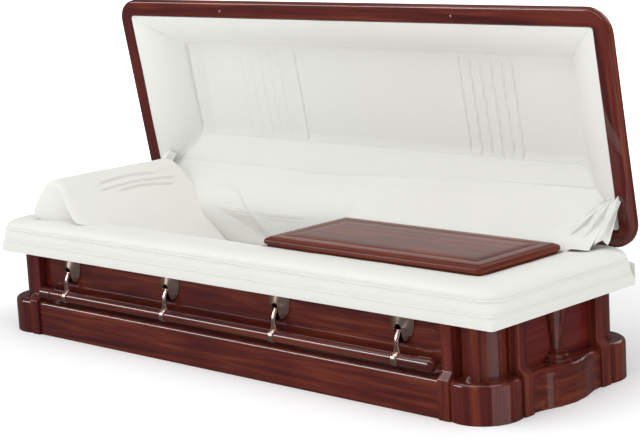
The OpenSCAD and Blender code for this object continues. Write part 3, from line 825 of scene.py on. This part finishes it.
def make_lid_panel():
    """The quilted panel in the lid, with two groups of sewn tucks."""
    across = [np.linspace(-0.868, -0.640, 40), np.linspace(-0.640, -0.315, 150)[1:],
              np.linspace(-0.315, 0.345, 60)[1:], np.linspace(0.345, 0.625, 150)[1:],
              np.linspace(0.625, 0.868, 40)[1:]]
    x = np.concatenate(across)
    u = np.linspace(0.196, 0.567, 100)
    grid_x, grid_u = np.meshgrid(x, u)
    w = np.full(grid_x.shape, 0.1245)
    w -= 0.0205 * smooth_step(0.788, 0.856, np.abs(grid_x))
    w += 0.0012 * np.sin(np.clip((0.785 - np.abs(grid_x)) / 0.02, 0, math.pi))
    low = 1 - smooth_step(0.196, 0.245, grid_u)
    w -= 0.0095 * low + 0.0095 * smooth_step(0.525, 0.566, grid_u)
    # Each padded field swells a little between its sewn groups
    for x0, x1 in ((-0.785, -0.345), (-0.340, 0.372), (0.588, 0.785)):
        inside = np.clip((grid_x - x0) / (x1 - x0), 0, 1)
        w -= 0.0035 * np.sin(math.pi * inside) * np.sin(math.pi * smooth_step(0.15, 0.62, grid_u))
    for place, size, wavy in TUCKS:
        wave = wavy * (0.0021 * np.sin(grid_u * 118 + place * 40) + 0.0011 * np.sin(grid_u * 61 + place * 90))
        off = grid_x - place - wave
        length = smooth_step(0.196, 0.232, grid_u) * (1 - 0.5 * smooth_step(0.50, 0.54, grid_u))
        swell = 0.75 + 0.25 * np.sin(grid_u * 118 + place * 75)
        fold = np.where(off < 0, np.exp(-(off / 0.011) ** 2), np.exp(-(off / 0.0024) ** 2))
        groove = np.exp(-((off - 0.0052) / 0.0022) ** 2)
        w -= length * size * swell * (fold - 0.75 * groove)
    hem = np.exp(-((grid_u - 0.203) / 0.004) ** 2)
    hem = hem * smooth_step(0.585, 0.592, grid_x) * (1 - smooth_step(0.632, 0.640, grid_x))
    w -= 0.0024 * hem
    front = lid_point(grid_x, grid_u, w)
    obj = sheet_object("lid_panel", front, 0.003)
    dress(obj, "lid", CREPE_LID)


def make_hinge_skirt():
    """The cloth that hides the hinge: it runs from the lid's border down into the body."""
    x = np.linspace(-0.985, 0.985, 240)
    over_board = smooth_step(0.0, 0.035, x) * (1 - smooth_step(0.905, 0.93, x))
    over_head = 1 - smooth_step(-0.94, -0.90, x)
    over_foot = smooth_step(0.90, 0.93, x)
    shallow = np.clip(over_board + over_head + over_foot, 0, 1)
    deep_path = curve_points([(0.3860, 0.5040), (0.3660, 0.4850), (0.3480, 0.4650), (0.3260, 0.4440),
                              (0.2980, 0.4220), (0.2720, 0.4000), (0.2520, 0.3760), (0.2420, 0.3460),
                              (0.2400, 0.3000), (0.2450, 0.2400)], 34)
    short_path = curve_points([(0.3860, 0.5040), (0.3660, 0.4850), (0.3480, 0.4650), (0.3260, 0.4450),
                               (0.3020, 0.4270), (0.2780, 0.4110), (0.2540, 0.3980), (0.2360, 0.3880),
                               (0.2240, 0.3760), (0.2180, 0.3660)], 34)
    rows = []
    for k in range(len(deep_path)):
        t = k / (len(deep_path) - 1)
        y = deep_path[k, 0] + (short_path[k, 0] - deep_path[k, 0]) * shallow
        z = deep_path[k, 1] + (short_path[k, 1] - deep_path[k, 1]) * shallow
        ends = over_head + over_foot
        lift = np.clip(SHELF + 0.010 - z, 0, None) * ends
        z = z + lift
        z = z - 0.006 * np.sin(math.pi * t) * np.sin(x * 3.1) ** 2
        z = z + 0.022 * smooth_step(-0.2, 1.0, x) * (1 - smooth_step(0.25, 0.85, t))
        y = y - 0.004 * np.sin(math.pi * t) * np.sin(x * 11 + 2.5 * t)
        rows.append(np.stack([x, y, z], 1))
    obj = sheet_object("hinge_skirt", rows, 0.0016)
    co = coords(obj)
    fold = np.interp(co[:, 2], (0.24, 0.292, 0.388, 0.436, 0.475), (-0.30, -0.376, -0.499, -0.589, -0.719))
    behind = 1 - smooth_step(fold - 0.006, fold + 0.010, co[:, 0])
    low_part = smooth_step(0.25, 0.29, co[:, 2]) * (1 - smooth_step(0.405, 0.445, co[:, 2]))
    near_fold = smooth_step(fold - 0.20, fold - 0.03, co[:, 0])
    set_back = 0.010 * behind * low_part * near_fold
    for vertex, depth in zip(obj.data.vertices, set_back):
        vertex.co.y += float(depth)
    push(obj, ripple(co, 6.0, 21.0) * 0.0025)
    obj.data.materials.append(CREPE_LID)
    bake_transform(obj, "casket", "lid", start=(0, 0.300, 0.395), end=(0, 0.352, 0.475))


def make_foot_corner_bunch():
    """The loose cloth bunched between the lid's foot end and the roll."""
    s = np.linspace(0, 1, 120)
    rows = []
    for t in np.linspace(0, 1, 60):
        swing = 0.35 + 0.65 * t
        left, right = 0.985 - 0.130 * t ** 0.8, 1.020 + 0.016 * t
        x = left + (right - left) * s + 0.006 * np.sin(s * 17 + 2.0 * t) * swing
        y = 0.352 - 0.092 * t + swing * (0.013 * np.sin(s * 21 + 2.2 * t) + 0.005 * np.sin(s * 38 - 3.0 * t))
        z = 0.545 - 0.150 * t - 0.028 * (1 - s) * (1 - t) + 0.006 * np.sin(s * 23 + 2.0 * t)
        rows.append(np.stack([x, y, np.maximum(z, SHELF + 0.010)], 1))
    obj = sheet_object("foot_corner_bunch", rows, 0.0014)
    co = coords(obj)
    push(obj, ripple(co, 22.0, 5.0) * 0.005 + ripple(co, 55.0, 9.0) * 0.0010)
    obj.data.materials.append(CREPE_LID)
    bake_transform(obj, "casket", "lid", start=(0.97, 0.280, 0.385), end=(0.97, 0.345, 0.480))


def make_head_corner_fold():
    """A small fold of the same cloth at the lid's head end."""
    s = np.linspace(0, 1, 40)
    rows = []
    for t in np.linspace(0, 1, 30):
        x = -0.985 + 0.075 * s * (1 - 0.6 * t)
        y = 0.345 - 0.060 * t + 0.008 * np.sin(s * 9 + 3 * t)
        z = 0.520 - 0.130 * t + 0.006 * np.sin(s * 14)
        rows.append(np.stack([x, y, np.maximum(z, SHELF + 0.008)], 1))
    obj = sheet_object("head_corner_fold", rows, 0.0016)
    push(obj, ripple(coords(obj), 30.0, 2.0) * 0.004)
    obj.data.materials.append(CREPE_LID)
    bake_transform(obj, "casket", "lid", start=(-0.95, 0.285, 0.390), end=(-0.95, 0.345, 0.480))


def make_body_lining():
    """The gathered lining that hangs from the roll's inner edge down to the mattress."""
    rows = []
    top = mouth_ring(-0.001)
    along = ring_grain(top)
    top_middle = np.array([(MOUTH["x0"] + MOUTH["x1"]) / 2, (MOUTH["y0"] + MOUTH["y1"]) / 2])
    outward_dir = (top - top_middle) / np.linalg.norm(top - top_middle, axis=1)[:, None]
    for t in np.linspace(0, 1, 30):
        grow = 0.012 * smooth_step(0, 1, t)
        ring = outline(MOUTH["x0"] + 0.014 * t, MOUTH["x1"] + grow,
                       MOUTH["y0"] - 0.075 * t, MOUTH["y1"] + 0.020 * t,
                       MOUTH_RADIUS, side=90, corner=12)
        fold = 0.0035 * np.sin(along * 150 + 1.5 * np.sin(along * 23)) * smooth_step(0.02, 0.35, t)
        ring = ring - outward_dir * (0.003 + fold)[:, None]
        z = 0.352 + (0.148 - 0.352) * t
        rows.append(np.column_stack([ring, np.full(len(ring), z)]))
    ring_rows = [np.vstack([r, r[:1]]) for r in rows]
    obj = sheet_object("body_lining_cloth", ring_rows, 0.0014)
    dress(obj, "casket", CREPE_WARM, ["body_lining"])


def rounded_pad(name, x0, x1, y0, y1, z0, z1, radius, crown):
    """A closed mattress form: crowned top, sides that pull in between the corners."""
    levels = [(0.020, 0.0), (0.006, 0.04), (0.0, 0.14), (-0.001, 0.5), (0.0, 0.84), (0.005, 0.94),
              (0.016, 0.985), (0.040, 1.0)]
    rings = []
    for inset, h in levels:
        ring = outline(x0 + inset, x1 - inset, y0 + inset, y1 - inset, radius, side=60, corner=8)
        rings.append(np.column_stack([ring, np.full(len(ring), z0 + (z1 - z0) * h)]))
    middle = np.array([(x0 + x1) / 2, (y0 + y1) / 2])
    base = rings[-1]
    for share in np.linspace(0.9, 0.05, 14):
        flat = middle + (base[:, :2] - middle) * share
        z = z1 + crown * (1 - share ** 2)
        rings.append(np.column_stack([flat, np.full(len(flat), z)]))
    return loft(name, rings, caps=True)


def make_mattress():
    low, high = BED
    obj = rounded_pad("mattress_pad", low.x + 0.002, high.x - 0.002, low.y + 0.004, high.y - 0.004,
                      low.z + 0.001, high.z - 0.010, 0.030, 0.010)
    co = coords(obj)
    tufts = np.zeros(len(co))
    for i in range(9):
        for j in (-1, 1):
            place = np.array([-0.84 + 0.21 * i, 0.13 * j])
            tufts -= 0.006 * np.exp(-np.sum((co[:, :2] - place) ** 2, 1) / 0.0008)
    tufts *= smooth_step(high.z - 0.02, high.z - 0.008, co[:, 2])
    push(obj, tufts + ripple(co, 8.0, 31.0) * 0.002)
    dress(obj, "casket", COTTON, ["mattress"])


def smooth_polygon(corners, count, rounds):
    """A closed outline through corner points, evenly spaced and rounded over."""
    corners = np.asarray(corners, float)
    closed = np.vstack([corners, corners[:1]])
    steps = np.linalg.norm(np.diff(closed, axis=0), axis=1)
    along = np.concatenate([[0], np.cumsum(steps)])
    places = np.linspace(0, along[-1], count, endpoint=False)
    ring = np.stack([np.interp(places, along, closed[:, k]) for k in range(2)], 1)
    for _ in range(rounds):
        ring = (np.roll(ring, 1, 0) + 2 * ring + np.roll(ring, -1, 0)) / 4
    return ring


def make_pillow():
    """The wedge pillow: its crest stands at the head and it slopes down to the mattress."""
    profile = smooth_polygon([(-0.905, 0.152), (-0.470, 0.152), (-0.452, 0.168), (-0.560, 0.256),
                              (-0.700, 0.366), (-0.872, 0.498), (-0.912, 0.509), (-0.950, 0.496),
                              (-0.968, 0.462), (-0.972, 0.410), (-0.955, 0.380), (-0.925, 0.362)], 420, 20)
    stations = np.concatenate([np.linspace(0, 0.06, 12), np.linspace(0.06, 0.95, 130)[1:-1],
                               np.linspace(0.95, 1, 10)])
    rings = []
    centre = np.array([-0.80, 0.36])
    for s in stations:
        end = min(s / 0.050, (1 - s) / 0.05, 1)
        size = 0.86 + 0.14 * math.sqrt(1 - (1 - end) ** 2)
        ring = centre + (profile - centre) * np.array([0.4 + 0.6 * size, size])
        high = smooth_step(0.335, 0.388, ring[:, 1])
        y_low = -0.168 + (0.236 + 0.168) * s
        flare = 0.046 * (1 - smooth_step(0.385, 0.500, ring[:, 1]))
        y_high = -0.226 - flare + (0.306 + 0.226 + flare) * s
        y = y_low + (y_high - y_low) * high
        rings.append(np.stack([ring[:, 0], y, ring[:, 1]], 1))
    obj = loft("wedge_pillow", rings, caps=True)
    co = coords(obj)
    # Sewn tucks that run across the upper slope
    amount = ripple(co, 6.0, 41.0) * 0.004 + ripple(co, 17.0, 43.0) * 0.0010
    for y0, z0, y1, z1 in ((-0.085, 0.474, 0.185, 0.474), (-0.105, 0.455, 0.255, 0.452),
                           (-0.030, 0.444, 0.225, 0.434)):
        share = (co[:, 1] - y0) / (y1 - y0)
        inside = np.clip(share, 0, 1)
        line = z0 + (z1 - z0) * inside + 0.007 * np.sin(math.pi * inside)
        ahead = co[:, 2] - line
        present = smooth_step(0.0, 0.12, share) * (1 - smooth_step(0.9, 1.0, share))
        on_slope = smooth_step(-0.90, -0.87, co[:, 0])
        crease = np.exp(-(ahead / 0.0018) ** 2) - 0.7 * np.exp(-((ahead - 0.0055) / 0.0040) ** 2)
        amount -= 0.0050 * crease * present * on_slope
    push(obj, amount)
    dress(obj, "casket", CREPE_WARM, ["pillow"])
    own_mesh(obj)


# ---------------------------------------------------------------- studio

def make_camera():
    yaw, pitch, roll = 0.7796, -0.1868, -0.0561
    ahead = Vector((-math.sin(yaw) * math.cos(pitch), math.cos(yaw) * math.cos(pitch), math.sin(pitch)))
    right = Vector((math.cos(yaw), math.sin(yaw), 0))
    up = right.cross(ahead)
    x_axis = math.cos(roll) * right + math.sin(roll) * up
    y_axis = math.cos(roll) * up - math.sin(roll) * right
    data = bpy.data.cameras.new("camera")
    data.sensor_width = 36
    data.lens = 107.42
    camera = bpy.data.objects.new("camera", data)
    bpy.context.collection.objects.link(camera)
    camera.rotation_mode = "QUATERNION"
    turn = Matrix((x_axis, y_axis, -ahead)).transposed().to_4x4()
    camera.matrix_world = Matrix.Translation((4.2037, -4.1209, 1.5212)) @ turn
    bpy.context.scene.camera = camera


def softbox(name, place, target, width, height, power):
    data = bpy.data.lights.new(name, "AREA")
    data.shape = "RECTANGLE"
    data.size = width
    data.size_y = height
    data.energy = power
    light = bpy.data.objects.new(name, data)
    bpy.context.collection.objects.link(light)
    light.location = place
    aim = Vector(target) - Vector(place)
    light.rotation_mode = "QUATERNION"
    light.rotation_quaternion = aim.to_track_quat("-Z", "Y")
    return light


def ray_mix(tree, ray, plain, chosen):
    """The chosen shader for one kind of ray, and the plain one for the rest."""
    path = add(tree, "LightPath")
    return add(tree, "MixShader", {0: path.outputs[ray], 1: plain, 2: chosen}).outputs[0]


def backdrop(tree, strength):
    return add(tree, "Background", {"Color": (1, 1, 1, 1), "Strength": strength}).outputs[0]


def make_floor():
    """A white floor that grows brighter away from the casket, so that it has no horizon.

    It is kept out of gloss reflections, which would wash out the wood.
    """
    reach = 30
    floor = mesh_object("floor", [(-reach, -reach, 0), (reach, -reach, 0), (reach, reach, 0),
                                  (-reach, reach, 0)], [(0, 1, 2, 3)])
    material, tree, shader = new_material("studio_floor")
    shader.inputs["Base Color"].default_value = (0.97, 0.97, 0.97, 1)
    shader.inputs["Roughness"].default_value = 0.9
    shader.inputs["Specular IOR Level"].default_value = 0.0
    shader.inputs["Emission Color"].default_value = (1, 1, 1, 1)
    place = add(tree, "TexCoord").outputs["Object"]
    away = add(tree, "VectorMath", {0: place}, operation="LENGTH").outputs["Value"]
    glow = add(tree, "MapRange", {0: away, 1: 1.3, 2: 4.0, 3: 0.06, 4: 1.0}).outputs[0]
    tree.links.new(glow, shader.inputs["Emission Strength"])
    floor.data.materials.append(material)
    floor.visible_glossy = False


def make_world():
    world = bpy.data.worlds.new("studio")
    bpy.context.scene.world = world
    world.use_nodes = True
    tree = world.node_tree
    tree.nodes.clear()
    around = ray_mix(tree, "Is Glossy Ray", backdrop(tree, 0.62), backdrop(tree, 0.10))
    output = tree.nodes.new("ShaderNodeOutputWorld")
    tree.links.new(ray_mix(tree, "Is Camera Ray", around, backdrop(tree, 1.05)), output.inputs[0])


def make_studio():
    make_floor()
    make_world()
    softbox("key", (-0.6, -1.8, 4.2), (0, 0, 0.4), 4.6, 3.2, 78)
    softbox("front_left", (-3.2, -5.2, 2.2), (0, 0, 0.5), 2.2, 2.6, 22)
    softbox("front_strip", (2.3, -6.5, 1.6), (0.9, -0.2, 0.3), 0.55, 2.8, 10)
    softbox("end", (2.5, -0.2, 4.2), (1.2, 0, 0.3), 2.4, 2.4, 40)
    softbox("back", (0.5, 5.0, 3.2), (0, 0, 0.5), 3.5, 2.0, 30)
    # Seen only in the gloss: a strip along the bar, and a card beside the foot end
    strip = softbox("gloss_strip", (-5.2, -4.6, 2.5), (-5.2, 0, 0.3), 5.8, 1.3, 230)
    card = softbox("gloss_card", (1.78, -0.30, 0.05), (1.0, -0.22, 0.05), 0.85, 1.4, 2.8)
    for light in (strip, card):
        light.visible_camera = False
        light.visible_diffuse = False
    view = bpy.context.scene.view_settings
    view.view_transform = "Standard"
    view.look = "None"


make_camera()
make_studio()
make_woodwork()
make_foot_board()
make_lid_frame()
make_lid_crown()
make_handles()
make_hinges()
make_bumpers()
make_mattress()
make_body_lining()
make_apron()
make_pillow()
make_lid_border()
make_lid_panel()
make_hinge_skirt()
make_foot_corner_bunch()
make_head_corner_fold()
